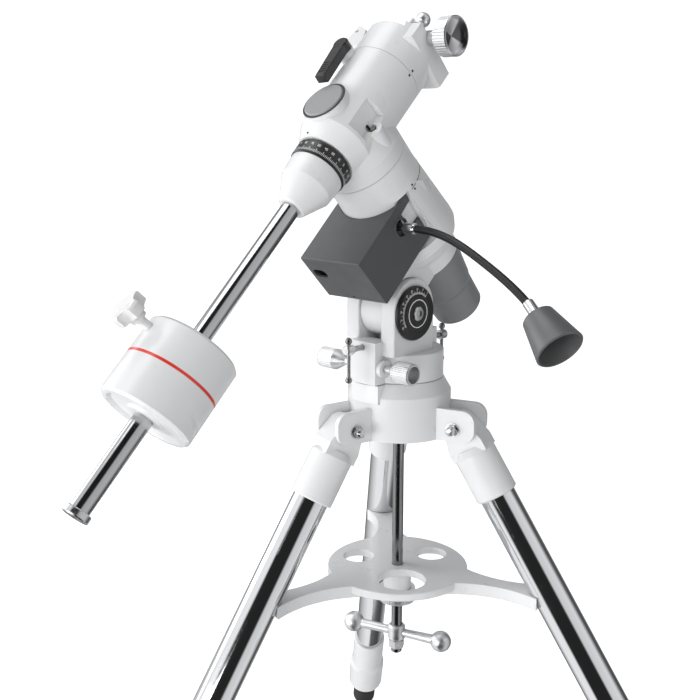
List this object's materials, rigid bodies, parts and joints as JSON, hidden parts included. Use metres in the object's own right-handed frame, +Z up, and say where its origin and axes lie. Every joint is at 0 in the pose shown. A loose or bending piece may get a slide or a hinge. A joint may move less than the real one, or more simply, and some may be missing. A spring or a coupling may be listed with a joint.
{
  "type": "equatorial mount",
  "caption": "German equatorial telescope mount on a steel tripod, with a counterweight bar, dovetail saddle, clutch levers, slow-motion cable and an accessory tray.",
  "frame": {"origin": "on the stand's upright axis, at the level of the ground under the feet", "axes": "+Z up; -Y towards the side the polar axis leans to, the counterweight's side; +X towards the latitude dial"},
  "size_m": [0.7614, 0.7438, 1.0139],
  "materials": {
    "white_paint": "smooth satin white enamel",
    "weight_paint": "smooth satin white enamel on cast iron, with a red line",
    "polished_steel": "polished stainless steel tube",
    "bar_steel": "polished steel bar",
    "fastener_steel": "plated fasteners and balls",
    "rod_steel": "dark plated rod",
    "knob_metal": "knurled, plated",
    "grey_plastic": "fine-grained dark grey",
    "mid_grey_plastic": "fine-grained grey",
    "cap_grey": "smooth grey",
    "black_plastic": "satin black",
    "scale_black": "black with white scale marks",
    "white_plastic": "gloss white",
    "foot_rubber": "black rubber",
    "gear_bronze": "machined",
    "machined_steel": "machined",
    "scope_black": "anodised black",
    "cable_black": "black sheath"
  },
  "bodies": {
    "stand": {"tripod_head": "white_paint", "azimuth_peg": "machined_steel", "leg_hinge_bolts": "fastener_steel"},
    "spreader": {"spreader_plate": "white_paint"},
    "spreader_nut": {"spreader_nut": "knob_metal"},
    "rod": {"centre_rod": "rod_steel", "tee_handle": "fastener_steel", "rod_end_nut": "fastener_steel"},
    "leg_a": {"leg_bracket_a": "white_paint", "leg_tube_a": "polished_steel", "leg_clamp_a": "white_paint"},
    "lower_leg_a": {"lower_leg_a": "polished_steel", "foot_a": "foot_rubber"},
    "clamp_knob_a": {"clamp_knob_a": "black_plastic"},
    "leg_b": {"leg_bracket_b": "white_paint", "leg_tube_b": "polished_steel", "leg_clamp_b": "white_paint"},
    "lower_leg_b": {"lower_leg_b": "polished_steel", "foot_b": "foot_rubber"},
    "clamp_knob_b": {"clamp_knob_b": "black_plastic"},
    "leg_c": {"leg_bracket_c": "white_paint", "leg_tube_c": "polished_steel", "leg_clamp_c": "white_paint"},
    "lower_leg_c": {"lower_leg_c": "polished_steel", "foot_c": "foot_rubber"},
    "clamp_knob_c": {"clamp_knob_c": "black_plastic"},
    "base": {"azimuth_base": "white_paint"},
    "azimuth_knob_left": {"azimuth_knob_left": "knob_metal"},
    "azimuth_knob_right": {"azimuth_knob_right": "knob_metal"},
    "polar": {"polar_housing": "white_paint", "motor_box": "grey_plastic", "latitude_bolt": "fastener_steel", "latitude_dial": "scale_black", "slow_motion_cable": "cable_black"},
    "latitude_screw_front": {"latitude_screw_front": "fastener_steel"},
    "tommy_bar_front": {"tommy_bar_front": "fastener_steel"},
    "latitude_screw_rear": {"latitude_screw_rear": "fastener_steel"},
    "tommy_bar_rear": {"tommy_bar_rear": "fastener_steel"},
    "ra": {"dec_housing": "white_paint", "polar_shaft": "machined_steel", "ra_worm_wheel": "gear_bronze", "polar_scope": "scope_black"},
    "ra_worm": {"ra_worm": "machined_steel"},
    "slow_motion_knob": {"slow_motion_knob": "mid_grey_plastic"},
    "ra_clutch_lever": {"ra_clutch_lever": "black_plastic"},
    "polar_scope_cover": {"polar_scope_cover": "mid_grey_plastic"},
    "polar_front_cap": {"polar_front_cap": "cap_grey"},
    "dec_clutch_lever": {"dec_clutch_lever": "black_plastic"},
    "dec": {"dec_shaft": "machined_steel", "dec_worm_wheel": "gear_bronze", "dec_nose": "white_paint", "counterweight_shaft": "bar_steel", "shaft_end_stop": "bar_steel", "saddle": "white_paint"},
    "dec_worm": {"dec_worm": "machined_steel"},
    "dec_setting_circle": {"dec_setting_circle": "scale_black"},
    "counterweight": {"counterweight": "weight_paint"},
    "counterweight_knob": {"counterweight_knob": "white_plastic"},
    "saddle_knob": {"saddle_knob": "knob_metal"},
    "saddle_safety_screw": {"saddle_safety_screw": "knob_metal"}
  },
  "joints": [
    {"name": "spreader_lower", "type": "slide", "parent": "stand", "child": "spreader", "axis": [0, 0, -1], "range_m": [0, 0.02]},
    {"name": "spreader_nut_turn", "type": "hinge", "parent": "spreader", "child": "spreader_nut", "pos_m": [0, 0, 0.4], "axis": [0, 0, 1], "continuous": true},
    {"name": "tee_handle_turn", "type": "hinge", "parent": "stand", "child": "rod", "pos_m": [0, 0, 0.3523], "axis": [0, 0, 1], "continuous": true},
    {"name": "leg_a_fold", "type": "hinge", "parent": "stand", "child": "leg_a", "pos_m": [-0.01482, -0.06739, 0.603], "axis": [0.9767, -0.2147, 0], "range_deg": [0, 2.53]},
    {"name": "lower_leg_a_extend", "type": "slide", "parent": "leg_a", "child": "lower_leg_a", "axis": [-0.1125, -0.5118, -0.8517], "range_m": [0, 0.25]},
    {"name": "clamp_knob_a_turn", "type": "hinge", "parent": "leg_a", "child": "clamp_knob_a", "pos_m": [-0.0839, -0.38161, 0.08004], "axis": [-0.1829, -0.8319, 0.524], "continuous": true},
    {"name": "leg_b_fold", "type": "hinge", "parent": "stand", "child": "leg_b", "pos_m": [0.06577, 0.02086, 0.603], "axis": [-0.3024, 0.9532, 0], "range_deg": [0, 2.53]},
    {"name": "lower_leg_b_extend", "type": "slide", "parent": "leg_b", "child": "lower_leg_b", "axis": [0.4995, 0.1584, -0.8517], "range_m": [0, 0.25]},
    {"name": "clamp_knob_b_turn", "type": "hinge", "parent": "leg_b", "child": "clamp_knob_b", "pos_m": [0.37244, 0.11814, 0.08004], "axis": [0.8119, 0.2575, 0.524], "continuous": true},
    {"name": "leg_c_fold", "type": "hinge", "parent": "stand", "child": "leg_c", "pos_m": [-0.05095, 0.04653, 0.603], "axis": [-0.6743, -0.7385, 0], "range_deg": [0, 2.53]},
    {"name": "lower_leg_c_extend", "type": "slide", "parent": "leg_c", "child": "lower_leg_c", "axis": [-0.3869, 0.3533, -0.8517], "range_m": [0, 0.25]},
    {"name": "clamp_knob_c_turn", "type": "hinge", "parent": "leg_c", "child": "clamp_knob_c", "pos_m": [-0.28853, 0.26347, 0.08004], "axis": [-0.629, 0.5743, 0.524], "continuous": true},
    {"name": "azimuth", "type": "hinge", "parent": "stand", "child": "base", "pos_m": [0, 0, 0.65], "axis": [0, 0, 1], "range_deg": [-8, 8]},
    {"name": "azimuth_screw_left", "type": "slide", "parent": "base", "child": "azimuth_knob_left", "axis": [1, 0, 0], "range_m": [-0.0068, 0.0068]},
    {"name": "azimuth_screw_right", "type": "slide", "parent": "base", "child": "azimuth_knob_right", "axis": [1, 0, 0], "range_m": [-0.0068, 0.0068]},
    {"name": "latitude", "type": "hinge", "parent": "base", "child": "polar", "pos_m": [0, -0.018, 0.7223], "axis": [-1, 0, 0], "range_deg": [-24, 4]},
    {"name": "latitude_screw_front", "type": "slide", "parent": "base", "child": "latitude_screw_front", "axis": [0, 1, 0], "range_m": [-0.0035, 0.015]},
    {"name": "tommy_bar_front_turn", "type": "hinge", "parent": "latitude_screw_front", "child": "tommy_bar_front", "pos_m": [0, -0.078, 0.688], "axis": [0, 1, 0], "range_deg": [-49, 9]},
    {"name": "latitude_screw_rear", "type": "slide", "parent": "base", "child": "latitude_screw_rear", "axis": [0, 1, 0], "range_m": [-0.0035, 0.015]},
    {"name": "tommy_bar_rear_turn", "type": "hinge", "parent": "latitude_screw_rear", "child": "tommy_bar_rear", "pos_m": [0, 0.071, 0.683], "axis": [0, 1, 0], "range_deg": [-289, 49]},
    {"name": "right_ascension", "type": "hinge", "parent": "polar", "child": "ra", "pos_m": [0, 0.03739, 0.77579], "axis": [0, -0.6947, 0.7193], "continuous": true},
    {"name": "ra_worm_turn", "type": "hinge", "parent": "polar", "child": "ra_worm", "pos_m": [0, -0.04616, 0.81049], "axis": [1, 0, 0], "continuous": true},
    {"name": "slow_motion_knob_turn", "type": "hinge", "parent": "polar", "child": "slow_motion_knob", "pos_m": [0.2055, -0.0586, 0.7467], "axis": [0.7618, -0.2406, -0.6014], "continuous": true},
    {"name": "ra_clutch", "type": "hinge", "parent": "polar", "child": "ra_clutch_lever", "pos_m": [0, -0.04736, 0.86355], "axis": [-1, 0, 0], "range_deg": [-35, 35]},
    {"name": "polar_scope_cover_off", "type": "slide", "parent": "polar", "child": "polar_scope_cover", "axis": [0, 0.8054, -0.5927], "range_m": [0, 0.06]},
    {"name": "polar_front_cap_off", "type": "slide", "parent": "ra", "child": "polar_front_cap", "axis": [0, -0.6947, 0.7193], "range_m": [0, 0.05]},
    {"name": "dec_clutch", "type": "hinge", "parent": "ra", "child": "dec_clutch_lever", "pos_m": [-0.017, -0.03621, 0.94702], "axis": [0, -0.6947, 0.7193], "range_deg": [-35, 35]},
    {"name": "declination", "type": "hinge", "parent": "ra", "child": "dec", "pos_m": [0, -0.08369, 0.90117], "axis": [0, 0.7193, 0.6947], "continuous": true},
    {"name": "dec_worm_turn", "type": "hinge", "parent": "ra", "child": "dec_worm", "pos_m": [0.033, -0.08096, 0.90381], "axis": [0, -0.6947, 0.7193], "continuous": true},
    {"name": "setting_circle_turn", "type": "hinge", "parent": "dec", "child": "dec_setting_circle", "pos_m": [0, -0.11606, 0.86991], "axis": [0, 0.7193, 0.6947], "continuous": true},
    {"name": "counterweight_slide", "type": "slide", "parent": "dec", "child": "counterweight", "axis": [0, -0.7193, -0.6947], "range_m": [-0.155, 0.085]},
    {"name": "counterweight_knob_turn", "type": "hinge", "parent": "counterweight", "child": "counterweight_knob", "pos_m": [0, -0.27935, 0.71222], "axis": [-0.1908, -0.6819, 0.7061], "continuous": true},
    {"name": "saddle_knob_turn", "type": "hinge", "parent": "dec", "child": "saddle_knob", "pos_m": [0, -0.00336, 0.98987], "axis": [1, 0, 0], "continuous": true},
    {"name": "saddle_safety_screw_turn", "type": "hinge", "parent": "dec", "child": "saddle_safety_screw", "pos_m": [0.0305, -0.09897, 0.917], "axis": [0, 0.7193, 0.6947], "continuous": true}
  ],
  "couplings": [
    {"joint": "leg_a_fold", "follows": "spreader_lower", "rad_per_m": 2.2},
    {"joint": "leg_b_fold", "follows": "spreader_lower", "rad_per_m": 2.2},
    {"joint": "leg_c_fold", "follows": "spreader_lower", "rad_per_m": 2.2},
    {"joint": "azimuth_screw_left", "follows": "azimuth", "m_per_rad": -0.048},
    {"joint": "azimuth_screw_right", "follows": "azimuth", "m_per_rad": -0.048},
    {"joint": "latitude_screw_front", "follows": "latitude", "m_per_rad": -0.0344},
    {"joint": "tommy_bar_front_turn", "follows": "latitude", "ratio": 2},
    {"joint": "latitude_screw_rear", "follows": "latitude", "m_per_rad": -0.0344},
    {"joint": "tommy_bar_rear_turn", "follows": "latitude", "ratio": 12},
    {"joint": "ra_worm_turn", "follows": "right_ascension", "ratio": -144},
    {"joint": "slow_motion_knob_turn", "follows": "right_ascension", "ratio": -144},
    {"joint": "dec_worm_turn", "follows": "declination", "ratio": 120}
  ]
}
